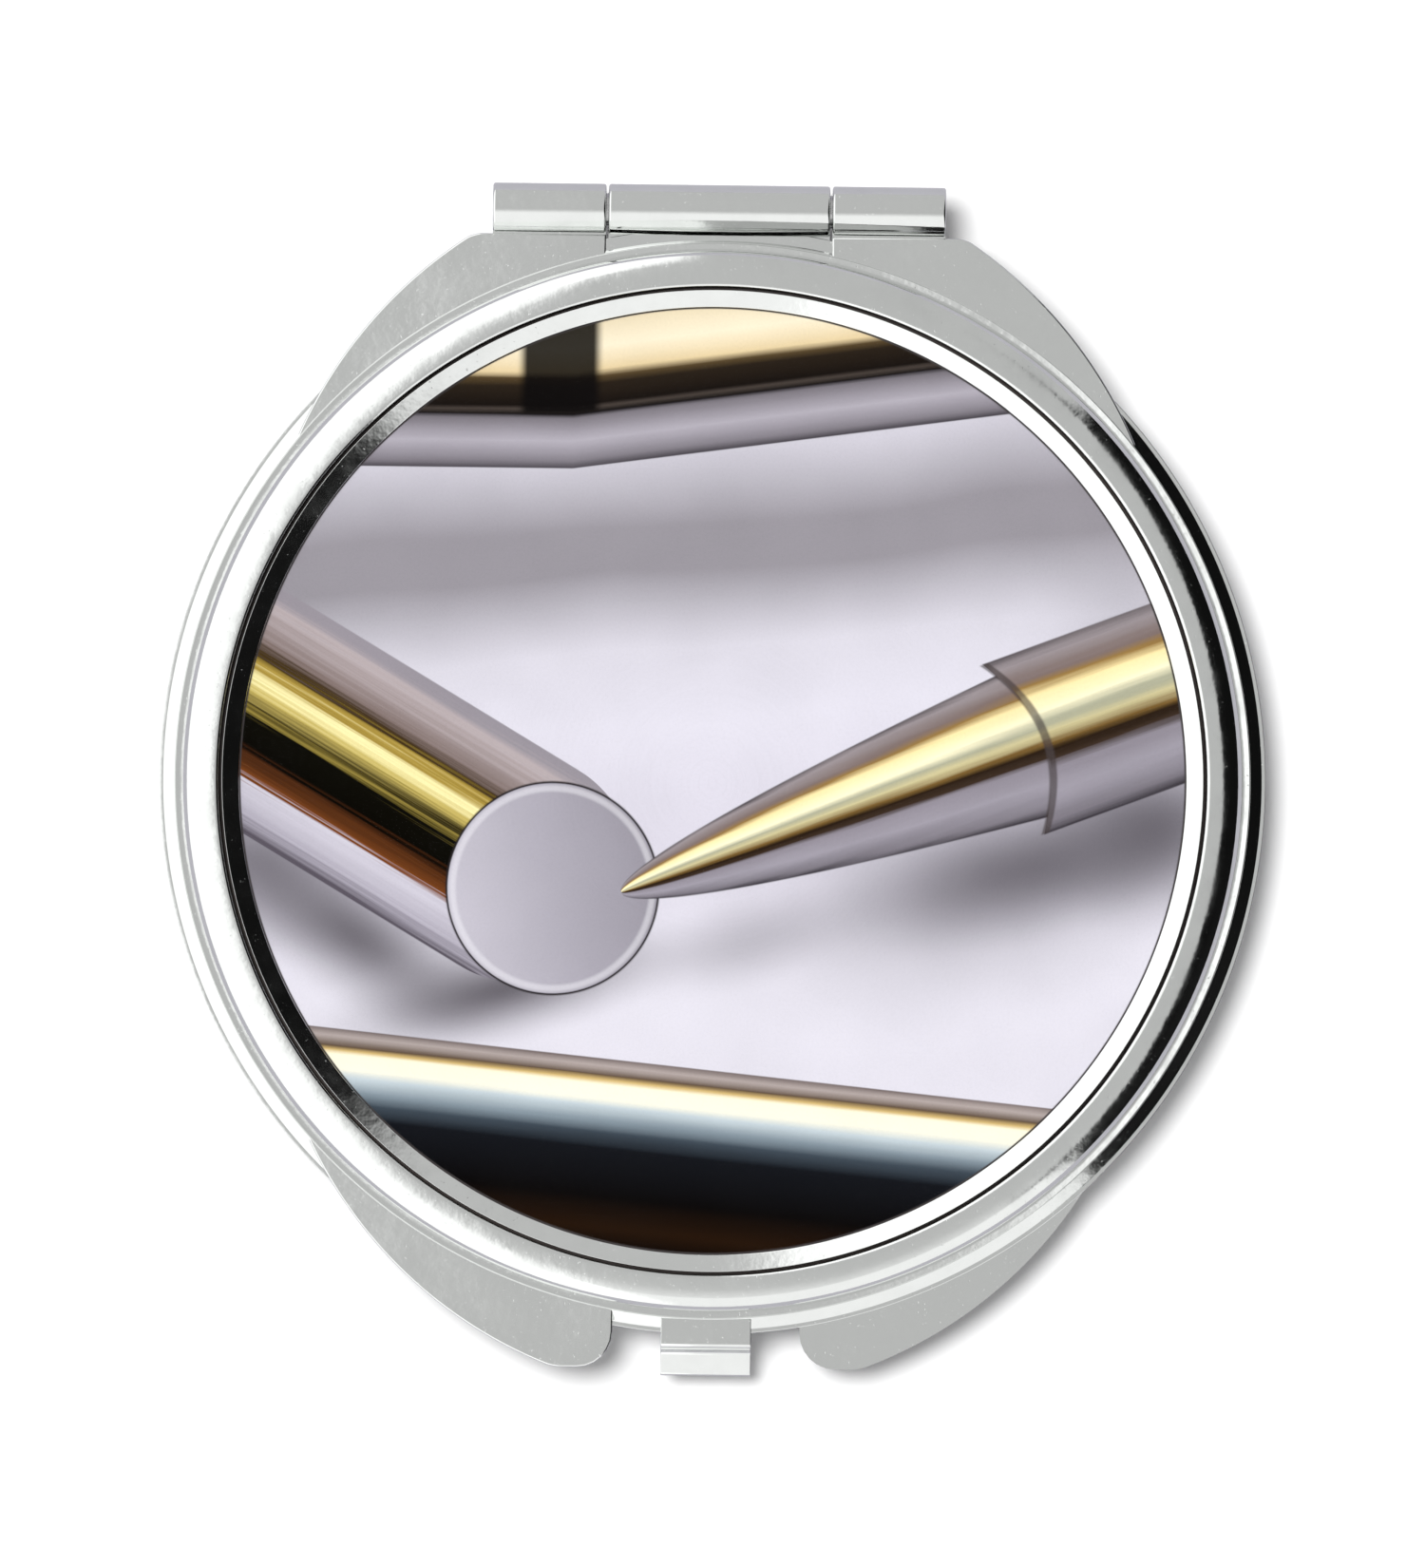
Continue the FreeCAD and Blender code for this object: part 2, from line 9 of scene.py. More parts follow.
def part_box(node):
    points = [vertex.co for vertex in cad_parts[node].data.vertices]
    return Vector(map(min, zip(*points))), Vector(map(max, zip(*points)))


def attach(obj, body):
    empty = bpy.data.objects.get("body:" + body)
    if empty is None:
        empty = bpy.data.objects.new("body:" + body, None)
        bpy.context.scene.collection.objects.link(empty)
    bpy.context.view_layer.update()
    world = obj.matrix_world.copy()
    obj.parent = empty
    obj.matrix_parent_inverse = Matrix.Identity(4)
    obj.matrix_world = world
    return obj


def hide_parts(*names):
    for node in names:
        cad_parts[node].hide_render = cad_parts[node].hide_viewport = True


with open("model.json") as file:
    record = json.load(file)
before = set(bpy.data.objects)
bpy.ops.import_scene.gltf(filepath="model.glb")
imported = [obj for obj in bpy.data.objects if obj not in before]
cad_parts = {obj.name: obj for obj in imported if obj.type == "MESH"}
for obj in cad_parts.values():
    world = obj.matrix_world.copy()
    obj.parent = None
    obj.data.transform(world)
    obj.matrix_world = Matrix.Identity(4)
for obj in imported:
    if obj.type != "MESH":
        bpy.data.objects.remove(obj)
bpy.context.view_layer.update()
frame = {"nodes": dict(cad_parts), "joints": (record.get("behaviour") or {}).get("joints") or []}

# Lengths below are in millimetres until a piece is finished. Heights in the stamped halves and
# mirrors count from the seam, upwards in the lid; the base is the same stamping turned over.

METRE = 1000.0
FULL_TURN = 2 * math.pi
LATHE_STEPS = 288
ROUND_STEPS = 6
TINY = 1e-5
SHARP_ANGLE = math.radians(32)
TURNED_OVER = Matrix.Rotation(math.pi, 4, "Y")

hinge = frame["joints"][0]
SEAM = hinge["pos_m"][2] * METRE
HINGE_LINE = hinge["pos_m"][1] * METRE


def corner_mm(node, corner):
    return [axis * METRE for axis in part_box(node)[corner]]


LOW, HIGH = 0, 1
RIM_RADIUS = corner_mm("lid_shell", HIGH)[0]
REACH = corner_mm("lid_shell", HIGH)[1]
RING_TOP = corner_mm("lid_shell", HIGH)[2] - SEAM
FLOOR_TOP = corner_mm("insert_adhesive", LOW)[2] - SEAM
FLOOR_UNDERSIDE = corner_mm("lid_mirror_pad", HIGH)[2] - SEAM
BEZEL_RADIUS = corner_mm("insert_bezel", HIGH)[0]
BEZEL_TOP = corner_mm("insert_bezel", HIGH)[2] - SEAM
COVER_TOP = corner_mm("print_cover", HIGH)[2] - SEAM
MIRROR_RADIUS = corner_mm("lid_mirror", HIGH)[0]
MIRROR_FACE = corner_mm("lid_mirror", LOW)[2] - SEAM
MIRROR_BACK = corner_mm("lid_mirror", HIGH)[2] - SEAM
CHANNEL_RADIUS = corner_mm("lid_mirror_ring", HIGH)[0]
LIP_FACE = corner_mm("lid_mirror_ring", LOW)[2] - SEAM
KNUCKLE_RADIUS = REACH - HINGE_LINE
PIN_RADIUS = corner_mm("hinge_pin", HIGH)[1] - HINGE_LINE
PIN_END = corner_mm("hinge_pin", HIGH)[0]

SHEET = 0.5
SEAM_GAP = 0.1
RING_OUTER = RIM_RADIUS - 1.45
RECESS_RADIUS = RING_OUTER - 2.1
PLATE_TOP = 0.7
CREST_RADIUS = RING_OUTER + 0.55
CURL_HEIGHT = 0.27
BACK_EDGE = HINGE_LINE - KNUCKLE_RADIUS
CENTRE_KNUCKLE = 13.0
SIDE_KNUCKLE = 6.65
KNUCKLE_GAP = 0.15
HINGE_CLEARANCE = 0.25
LATCH_WIDTH = 5.3


# Mesh tools


def round_corners(bm, verts, roundings, steps):
    """Turns corners of a flat outline into arcs that start the given distance before each one."""
    for vert, rounding in zip(verts, roundings):
        if rounding:
            bmesh.ops.bevel(
                bm, geom=[vert], offset=rounding, offset_type="OFFSET", segments=steps,
                profile=0.5, material=-1, affect="VERTICES", clamp_overlap=True,
            )


def round_edges(bm, edges, size, steps=3):
    bmesh.ops.bevel(
        bm, geom=edges, offset=size, offset_type="OFFSET", segments=steps, profile=0.5,
        material=-1, affect="EDGES", clamp_overlap=True,
    )


def tidy(bm):
    bmesh.ops.remove_doubles(bm, verts=bm.verts[:], dist=TINY)
    bmesh.ops.recalc_face_normals(bm, faces=bm.faces[:])
    return bm


def lathe(corners, round_steps=ROUND_STEPS):
    """Spins a closed section of (radius, height, rounding) corners about Z."""
    bm = bmesh.new()
    verts = [bm.verts.new((radius, 0, height)) for radius, height, _ in corners]
    bm.faces.new(verts)
    round_corners(bm, verts, [rounding for _, _, rounding in corners], round_steps)
    bmesh.ops.delete(bm, geom=bm.faces[:], context="FACES_ONLY")
    on_axis = [edge for edge in bm.edges if all(abs(vert.co.x) < TINY for vert in edge.verts)]
    bmesh.ops.delete(bm, geom=on_axis, context="EDGES")
    bmesh.ops.spin(
        bm, geom=bm.verts[:] + bm.edges[:], cent=(0, 0, 0), axis=(0, 0, 1), dvec=(0, 0, 0),
        angle=FULL_TURN, steps=LATHE_STEPS, use_merge=True,
    )
    return tidy(bm)


def pull_out(bm, along):
    """Makes a solid of a mesh of flat faces."""
    pulled = bmesh.ops.extrude_face_region(bm, geom=bm.faces[:], use_keep_orig=True)["geom"]
    moved = [item for item in pulled if isinstance(item, bmesh.types.BMVert)]
    bmesh.ops.translate(bm, verts=moved, vec=along)
    return tidy(bm)


def trimmed_disc(centre_y, radius, cuts):
    """A flat disc cut along lines, each a (point on the line, direction cut away) pair."""
    bm = bmesh.new()
    bmesh.ops.create_circle(bm, cap_ends=True, radius=radius, segments=LATHE_STEPS)
    bmesh.ops.translate(bm, verts=bm.verts[:], vec=(0, centre_y, 0))
    for point, away in cuts:
        bmesh.ops.bisect_plane(
            bm, geom=bm.verts[:] + bm.edges[:] + bm.faces[:], dist=TINY,
            plane_co=point, plane_no=away, clear_outer=True,
        )
    return bm


def block(low, high):
    bm = bmesh.new()
    bmesh.ops.create_cube(bm, size=1)
    low, high = Vector(low), Vector(high)
    bmesh.ops.scale(bm, verts=bm.verts[:], vec=high - low)
    bmesh.ops.translate(bm, verts=bm.verts[:], vec=(low + high) / 2)
    return bm


def make_object(name, bm):
    mesh = bpy.data.meshes.new(name)
    bm.to_mesh(mesh)
    bm.free()
    item = bpy.data.objects.new(name, mesh)
    bpy.context.scene.collection.objects.link(item)
    return item


def take_mesh(item):
    """The mesh of an object that is no longer needed."""
    bm = bmesh.new()
    bm.from_mesh(item.data)
    bpy.data.objects.remove(item)
    return bm


def apply_modifiers(item):
    depsgraph = bpy.context.evaluated_depsgraph_get()
    result = bpy.data.meshes.new_from_object(item.evaluated_get(depsgraph))
    item.modifiers.clear()
    item.data = result


def combine(item, bm, operation):
    """Joins a mesh to a piece, cuts it from the piece or keeps what both share."""
    tool = make_object("tool", bm)
    modifier = item.modifiers.new("combine", "BOOLEAN")
    modifier.operation = operation
    modifier.solver = "EXACT"
    modifier.object = tool
    apply_modifiers(item)
    bpy.data.objects.remove(tool)


def turn_over(item):
    item.data.transform(TURNED_OVER)


def finish_piece(item, body, material, stands_for):
    """Puts a piece in its place in metres, smooths it and makes it ride on its body."""
    item.data.transform(Matrix.Scale(1 / METRE, 4) @ Matrix.Translation((0, 0, SEAM)))
    item.data.shade_smooth()
    item.data.set_sharp_from_angle(angle=SHARP_ANGLE)
    modifier = item.modifiers.new("shading", "WEIGHTED_NORMAL")
    modifier.keep_sharp = True
    apply_modifiers(item)
    item.data.materials.clear()
    item.data.materials.append(material)
    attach(item, body)
    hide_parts(stands_for)


# The stamped halves


def dish():
    """The round part of a half: recess, crowned ring, groove, bead and curled rim."""
    cavity = RING_OUTER - SHEET
    channel = RECESS_RADIUS + SHEET
    crown = RECESS_RADIUS + 0.5
    lip_foot = RIM_RADIUS - 0.28
    return lathe([
        (0, FLOOR_UNDERSIDE, 0),
        (channel, FLOOR_UNDERSIDE, 0.1),
        (channel, RING_TOP - SHEET, 0.15),
        (cavity, RING_TOP - SHEET, 0.3),
        (cavity, SEAM_GAP, 0.05),
        (RIM_RADIUS, SEAM_GAP, 0.04),
        (RIM_RADIUS, CURL_HEIGHT + 0.007, 0.04),
        (lip_foot, CURL_HEIGHT - 0.007, 0.06),
        (CREST_RADIUS, PLATE_TOP + 0.01, 0.03),
        (CREST_RADIUS - 0.06, PLATE_TOP - 0.01, 0.01),
        (RING_OUTER + 0.04, PLATE_TOP - 0.028, 0.01),
        (RING_OUTER, PLATE_TOP - 0.045, 0.01),
        (RING_OUTER, RING_TOP - 0.07, 0.8),
        (crown, RING_TOP, 0.35),
        (RECESS_RADIUS, RING_TOP - 0.002, 0.25),
        (RECESS_RADIUS, FLOOR_TOP, 0.08),
        (0, FLOOR_TOP, 0),
    ])


def shoulder_outline():
    """A disc cut off straight at the back edge of the plate."""
    sweep = 22.5
    half_width = 14.45
    centre = BACK_EDGE - sweep
    bm = trimmed_disc(centre, math.hypot(half_width, sweep), [
        ((0, BACK_EDGE, 0), (0, 1, 0)),
        ((0, centre, 0), (0, -1, 0)),
    ])
    corners = [vert for vert in bm.verts if abs(vert.co.y - BACK_EDGE) < TINY]
    round_corners(bm, corners, [1.0] * len(corners), ROUND_STEPS)
    return bm


def wing_outline():
    """The thumb wing, left of the latch, with its tip rounded more on the latch side."""
    overhang = 2.0
    sweep = 24.4
    tip_edge = 9.0
    inner_edge = 5.5
    tip = -(RIM_RADIUS + overhang)
    centre = tip + sweep
    bm = trimmed_disc(centre, math.hypot(tip_edge, sweep), [
        ((0, tip, 0), (0, -1, 0)),
        ((-inner_edge, 0, 0), (1, 0, 0)),
        ((0, centre, 0), (0, 1, 0)),
    ])
    tips = [vert for vert in bm.verts if abs(vert.co.y - tip) < TINY]
    roundings = [2.1 if vert.co.x > -tip_edge + 1 else 0.9 for vert in tips]
    round_corners(bm, tips, roundings, ROUND_STEPS)
    return bm


def leaf(outline, cuts=()):
    """A flat part of the sheet outside the bead, with its upper edge softened."""
    bmesh.ops.translate(outline, verts=outline.verts[:], vec=(0, 0, PLATE_TOP - SHEET))
    part = make_object("leaf", pull_out(outline, (0, 0, SHEET)))
    for cut in cuts:
        combine(part, cut, "DIFFERENCE")
    bm = take_mesh(part)
    upper = [
        edge for edge in bm.edges
        if all(abs(vert.co.z - PLATE_TOP) < TINY for vert in edge.verts) and edge.calc_face_angle(0) > 1
    ]
    round_edges(bm, upper, 0.1)
    part = make_object("leaf", tidy(bm))
    hole = bmesh.new()
    bmesh.ops.create_cone(
        hole, cap_ends=True, cap_tris=False, segments=LATHE_STEPS, radius1=CREST_RADIUS - 0.03,
        radius2=CREST_RADIUS - 0.03, depth=10,
    )
    combine(part, hole, "DIFFERENCE")
    return take_mesh(part)


def knuckle(start, end):
    """A strip rolled round the pin, with its slit on the side of the plate."""
    first_angle = math.radians(158)
    sweep = math.radians(322)
    bm = bmesh.new()
    wall = [
        bm.verts.new((start, PIN_RADIUS + 0.05, 0)),
        bm.verts.new((end, PIN_RADIUS + 0.05, 0)),
        bm.verts.new((end, KNUCKLE_RADIUS, 0)),
        bm.verts.new((start, KNUCKLE_RADIUS, 0)),
    ]
    bm.faces.new(wall)
    bmesh.ops.rotate(bm, verts=bm.verts[:], matrix=Matrix.Rotation(first_angle, 3, "X"))
    bmesh.ops.spin(
        bm, geom=bm.verts[:] + bm.edges[:] + bm.faces[:], cent=(0, 0, 0), axis=(-1, 0, 0),
        dvec=(0, 0, 0), angle=sweep, steps=96,
    )
    bmesh.ops.holes_fill(bm, edges=[edge for edge in bm.edges if edge.is_boundary])
    tidy(bm)
    rims = [
        edge for edge in bm.edges
        if abs(edge.verts[0].co.x - edge.verts[1].co.x) < TINY
        and all(math.hypot(vert.co.y, vert.co.z) > KNUCKLE_RADIUS - TINY * 10 for vert in edge.verts)
    ]
    round_edges(bm, rims, 0.14, steps=4)
    bmesh.ops.translate(bm, verts=bm.verts[:], vec=(0, HINGE_LINE, 0))
    return tidy(bm)


def hinge_strip(start, end):
    """The flat strip between the plate and a knuckle."""
    wall_middle = (PIN_RADIUS + KNUCKLE_RADIUS) / 2
    strip_top = PLATE_TOP - 0.2
    return block(
        (start, BACK_EDGE - 0.8, PLATE_TOP - SHEET - 0.05),
        (end, HINGE_LINE - wall_middle, strip_top),
    )


def latch_tab():
    """The tab bent down from the lid's front edge, with its lip turned out and drooping."""
    lip_start = -REACH + 1.45
    lip_top = PLATE_TOP - 1.6
    slope_start = lip_start + 0.3
    inside = -CREST_RADIUS
    droop = 0.25
    under = 0.42
    corners = [
        (inside, PLATE_TOP - 0.01, 0),
        (slope_start, PLATE_TOP - 0.01, 0.2),
        (lip_start, lip_top + droop / 2, 0.22),
        (-REACH, lip_top - droop, 0.2),
        (-REACH, lip_top - SHEET, 0.1),
        (lip_start + under, lip_top - SHEET + droop / 2, 0.2),
        (slope_start + under, PLATE_TOP - SHEET, 0.2),
        (inside, PLATE_TOP - SHEET, 0),
    ]
    bm = bmesh.new()
    verts = [bm.verts.new((-LATCH_WIDTH / 2, across, height)) for across, height, _ in corners]
    bm.faces.new(verts)
    round_corners(bm, verts, [rounding for _, _, rounding in corners], ROUND_STEPS)
    pull_out(bm, (LATCH_WIDTH, 0, 0))
    sides = [
        edge for edge in bm.edges
        if abs(edge.verts[0].co.x - edge.verts[1].co.x) < TINY and edge.calc_face_angle(0) > 1
    ]
    round_edges(bm, sides, 0.07)
    return tidy(bm)


def lid_case(chrome):
    half = make_object("lid_case", dish())
    side_start = CENTRE_KNUCKLE / 2 + KNUCKLE_GAP
    side_end = side_start + SIDE_KNUCKLE
    notch_low = (-side_start, RECESS_RADIUS, -2)
    notch_high = (side_start, REACH, PLATE_TOP + 0.3)
    notch = make_object("notch", lathe([
        (BACK_EDGE - HINGE_CLEARANCE, -2, 0),
        (REACH, -2, 0),
        (REACH, PLATE_TOP + 0.2, 0),
        (BACK_EDGE - HINGE_CLEARANCE, PLATE_TOP + 0.2, 0),
    ]))
    combine(notch, block(notch_low, notch_high), "INTERSECT")
    combine(half, take_mesh(notch), "DIFFERENCE")
    combine(half, leaf(shoulder_outline(), [block(notch_low, notch_high)]), "UNION")
    combine(half, leaf(wing_outline()), "UNION")
    for start, end in ((-side_end, -side_start), (side_start, side_end)):
        combine(half, hinge_strip(start, end), "UNION")
        combine(half, knuckle(start, end), "UNION")
    combine(half, latch_tab(), "UNION")
    finish_piece(half, "lid", chrome, "lid_shell")


def base_case(chrome):
    half = make_object("base_case", dish())
    latch_half = LATCH_WIDTH / 2 + 0.35
    catch = block((-latch_half, -REACH, -2), (latch_half, -RIM_RADIUS + 0.6, 2))
    combine(half, catch, "DIFFERENCE")
    half_centre = CENTRE_KNUCKLE / 2
    outer = half_centre + 2 * KNUCKLE_GAP + SIDE_KNUCKLE
    edge = BACK_EDGE - HINGE_CLEARANCE
    reliefs = [
        block((-outer, edge, -2), (-half_centre, REACH, 2)),
        block((half_centre, edge, -2), (outer, REACH, 2)),
    ]
    combine(half, leaf(shoulder_outline(), reliefs), "UNION")
    combine(half, leaf(wing_outline()), "UNION")
    combine(half, hinge_strip(-half_centre, half_centre), "UNION")
    combine(half, knuckle(-half_centre, half_centre), "UNION")
    turn_over(half)
    finish_piece(half, "base", chrome, "base_shell")


# The insert, the pin and the mirrors


def bezel(chrome):
    """A thin ring hooked over the picture, its face leaning inwards like a shallow funnel."""
    wall = 0.5
    width = 1.0
    ring = make_object("bezel_ring", lathe([
        (BEZEL_RADIUS - wall, FLOOR_TOP, 0),
        (BEZEL_RADIUS, FLOOR_TOP, 0.05),
        (BEZEL_RADIUS, BEZEL_TOP, 0.03),
        (BEZEL_RADIUS - width, COVER_TOP + 0.06, 0.05),
        (BEZEL_RADIUS - width, COVER_TOP, 0),
        (BEZEL_RADIUS - wall, COVER_TOP, 0.05),
    ]))
    finish_piece(ring, "lid", chrome, "insert_bezel")


def pin(steel):
    bm = bmesh.new()
    bmesh.ops.create_cone(
        bm, cap_ends=True, cap_tris=False, segments=64, radius1=PIN_RADIUS, radius2=PIN_RADIUS,
        depth=2 * PIN_END,
    )
    round_edges(bm, [edge for edge in bm.edges if edge.calc_face_angle(0) > 1], 0.2, steps=4)
    bmesh.ops.rotate(bm, verts=bm.verts[:], matrix=Matrix.Rotation(math.pi / 2, 3, "Y"))
    bmesh.ops.translate(bm, verts=bm.verts[:], vec=(0, HINGE_LINE, 0))
    finish_piece(make_object("pin_rod", tidy(bm)), "base", steel, "hinge_pin")


def flat_mirror(silver):
    """Plain mirror glass with its arrises ground off."""
    glass = make_object("plain_mirror", lathe([
        (0, MIRROR_FACE, 0),
        (MIRROR_RADIUS, MIRROR_FACE, 0.15),
        (MIRROR_RADIUS, MIRROR_BACK, 0.1),
        (0, MIRROR_BACK, 0),
    ]))
    finish_piece(glass, "lid", silver, "lid_mirror")


def bowed_mirror(silver):
    """The magnifying glass: hollow towards the eye and bowed at the back."""
    sag = 0.5
    thickness = 1.0
    half_way = MIRROR_RADIUS / 2
    glass = make_object("magnifying_mirror", lathe([
        (0, MIRROR_FACE + sag, 0),
        (half_way, MIRROR_FACE + sag, half_way - 0.1),
        (MIRROR_RADIUS, MIRROR_FACE, 0.1),
        (MIRROR_RADIUS, MIRROR_FACE + thickness * 0.8, 0.1),
        (half_way, MIRROR_FACE + thickness + sag - 0.1, half_way - 0.5),
        (0, MIRROR_FACE + thickness + sag - 0.1, 0),
    ], round_steps=20))
    turn_over(glass)
    finish_piece(glass, "base", silver, "base_mirror")


def mirror_frame(name, body, stands_for, plastic):
    """The moulded ring round a mirror, with a softly rounded lip."""
    lip_inner = MIRROR_RADIUS - 0.8
    seat = MIRROR_RADIUS + 0.15
    ring = make_object(name, lathe([
        (lip_inner, MIRROR_FACE, 0),
        (lip_inner, LIP_FACE + 0.12, 0.1),
        (lip_inner + 0.9, LIP_FACE, 0.25),
        (CHANNEL_RADIUS, LIP_FACE, 0.08),
        (CHANNEL_RADIUS, FLOOR_UNDERSIDE, 0.1),
        (seat, FLOOR_UNDERSIDE, 0),
        (seat, MIRROR_FACE, 0),
    ]))
    if body == "base":
        turn_over(ring)
    finish_piece(ring, body, plastic, stands_for)


# Shader nodes


class Signal:
    """One output of a node, with arithmetic on it."""

    def __init__(self, shader, socket):
        self.shader = shader
        self.socket = socket

    def math(self, operation, *others, flipped=False):
        values = [self, *others]
        if flipped:
            values.reverse()
        return self.shader.node("ShaderNodeMath", dict(enumerate(values)), operation=operation)

    def __add__(self, other):
        return self.math("ADD", other)

    def __radd__(self, other):
        return self.math("ADD", other)

    def __sub__(self, other):
        return self.math("SUBTRACT", other)

    def __rsub__(self, other):
        return self.math("SUBTRACT", other, flipped=True)

    def __mul__(self, other):
        return self.math("MULTIPLY", other)

    def __rmul__(self, other):
        return self.math("MULTIPLY", other)

    def __truediv__(self, other):
        return self.math("DIVIDE", other)

    def __neg__(self):
        return self.math("MULTIPLY", -1.0)

    def __abs__(self):
        return self.math("ABSOLUTE")


class Shader:
    """A node material, or the world, and the one way that its nodes are made."""

    def __init__(self, owner):
        owner.use_nodes = True
        self.tree = owner.node_tree
        self.tree.nodes.clear()

    def node(self, kind, values=None, output=0, stops=None, **settings):
        """Adds a node: its settings and ramp stops first, then the values or links of its sockets."""
        made = self.tree.nodes.new(kind)
        for name, setting in settings.items():
            setattr(made, name, setting)
        for count, (place, tint) in enumerate(stops or []):
            known = made.color_ramp.elements
            element = known[count] if count < len(known) else known.new(place)
            element.position = place
            element.color = tint
        for name, given in (values or {}).items():
            if isinstance(given, Signal):
                self.tree.links.new(given.socket, made.inputs[name])
            else:
                made.inputs[name].default_value = given
        if isinstance(output, tuple):
            return [Signal(self, made.outputs[number]) for number in output]
        return Signal(self, made.outputs[output]) if made.outputs else None

    def mix(self, factor, low, high):
        """Blends two colours."""
        return self.node("ShaderNodeMix", {0: factor, 6: low, 7: high}, output=2, data_type="RGBA")

    def ramp(self, factor, stops):
        return self.node("ShaderNodeValToRGB", {0: factor}, stops=stops)

    def smooth(self, signal, low, high, to_low=0.0, to_high=1.0):
        """A soft step of the signal from one value to another."""
        return self.node("ShaderNodeMapRange", {
            "Value": signal, "From Min": low, "From Max": high, "To Min": to_low, "To Max": to_high,
        }, interpolation_type="SMOOTHSTEP")

    def place(self):
        """Object coordinates in millimetres."""
        coordinates = self.node("ShaderNodeTexCoord", output=3)
        return self.node("ShaderNodeVectorMath", {0: coordinates, "Scale": METRE}, operation="SCALE")

    def axes(self):
        return self.node("ShaderNodeSeparateXYZ", {0: self.place()}, output=(0, 1, 2))

    def noise(self, scale, detail=2.0, vector=None, roughness=0.5):
        """Noise whose scale counts waves per millimetre."""
        return self.node("ShaderNodeTexNoise", {
            "Vector": vector or self.place(), "Scale": scale, "Detail": detail, "Roughness": roughness,
        })

    def bump(self, height, distance, **under):
        """A normal from a height signal; distance is the height of 1 in millimetres."""
        return self.node("ShaderNodeBump", {"Height": height, "Distance": distance / METRE, **under})

    def surface(self, **inputs):
        """A Principled surface; spaces in input names are written as underscores."""
        values = {name.replace("_", " "): given for name, given in inputs.items()}
        principled = self.node("ShaderNodeBsdfPrincipled", values)
        self.node("ShaderNodeOutputMaterial", {"Surface": principled})


def grey(level):
    return (level, level, level, 1.0)


def paint(red, green, blue):
    """A screen colour, 0 to 255, as the scene-linear tone that studio light brings out as that colour."""
    paper_light = 1.12
    tones = []
    for level in (red, green, blue):
        share = level / 255
        tone = share / 12.92 if level < 11 else ((share + 0.055) / 1.055) ** 2.4
        tones.append(tone / paper_light)
    return (*tones, 1.0)


def new_material(name):
    material = bpy.data.materials.new(name)
    return material, Shader(material)


def chrome_material(name, tint, waviness):
    """Bright plating over stamped steel: long waves, orange peel, tiny pits, a faint haze and painted
    shade in the crease by the bezel.
    """
    material, shader = new_material(name)
    x, y, z = shader.axes()
    radius = (x * x + y * y).math("SQRT")
    sheet_waves = shader.noise(0.09, 1.0)
    peel = shader.noise(1.6, 2.0)
    pits = shader.smooth(shader.noise(5.5, 3.0), 0.68, 0.78)
    haze = shader.noise(0.4, 4.0, roughness=0.65)
    in_gap = shader.smooth(radius, BEZEL_RADIUS - 0.1, BEZEL_RADIUS - 0.02)
    in_gap = in_gap * shader.smooth(radius, RECESS_RADIUS + 0.06, RECESS_RADIUS + 0.02)
    below_crown = shader.smooth(z, SEAM + RING_TOP - 0.3, SEAM + RING_TOP - 0.45)
    # Painted shade: in the crease between the bezel and the recess wall, below the crown and above the
    # seam, the chrome is made darker, rougher and less metallic to stand for the shade there.
    gap_shade = in_gap * below_crown * shader.smooth(z, SEAM, SEAM + 1)
    shade = tuple(level * 0.95 for level in tint)
    plating = shader.mix(shader.smooth(haze, 0.35, 0.75), (*tint, 1), (*shade, 1))
    waves = shader.bump(sheet_waves, 0.06 * waviness)
    grain = shader.bump(peel * 0.7 - pits * 0.5, 0.006, Normal=waves)
    shader.surface(
        Base_Color=shader.mix(gap_shade, plating, (0.1, 0.085, 0.08, 1)),
        Metallic=1.0 - gap_shade * 0.6,
        Roughness=shader.smooth(haze, 0.3, 0.8, 0.06, 0.13) + pits * 0.1 + gap_shade * 0.4,
        Normal=grain,
    )
    return material


def steel_material():
    """Drawn wire, with fine lines round it and a little oil."""
    material, shader = new_material("drawn_steel")
    x, y, z = shader.axes()
    stretched = shader.node("ShaderNodeCombineXYZ", {0: x * 0.4, 1: y * 5, 2: z * 5})
    lines = shader.noise(1.0, 3.0, vector=stretched)
    shader.surface(
        Base_Color=shader.mix(lines, grey(0.42), grey(0.6)), Metallic=1.0,
        Roughness=shader.smooth(lines, 0.3, 0.7, 0.2, 0.4), Normal=shader.bump(lines, 0.01),
    )
    return material


def mirror_material():
    """Silvered glass with faint smudges and dust, and a greenish ground edge."""
    material, shader = new_material("mirror_glass")
    x, y, _ = shader.axes()
    radius = (x * x + y * y).math("SQRT")
    edge = shader.smooth(radius, MIRROR_RADIUS - 0.16, MIRROR_RADIUS - 0.12)
    smudge = shader.smooth(shader.noise(0.12, 4.0), 0.5, 0.8)
    dust = shader.smooth(shader.noise(4.0, 2.0), 0.72, 0.8)
    silver = shader.mix(smudge, (0.93, 0.945, 0.94, 1), (0.9, 0.915, 0.915, 1))
    shader.surface(
        Base_Color=shader.mix(edge, silver, (0.35, 0.5, 0.44, 1)), Metallic=1.0 - edge * 0.7,
        Roughness=0.015 + smudge * 0.03 + dust * 0.12 + edge * 0.3,
    )
    return material


def plastic_material():
    """Moulded plastic with a silver coat."""
    material, shader = new_material("silver_plastic")
    flow = shader.noise(0.25, 3.0)
    grain = shader.noise(6.0, 2.0)
    shader.surface(
        Base_Color=shader.mix(flow, (0.56, 0.57, 0.58, 1), (0.66, 0.67, 0.68, 1)), Metallic=0.6,
        Roughness=shader.smooth(grain, 0.3, 0.7, 0.3, 0.4), Normal=shader.bump(grain, 0.004),
    )
    return material


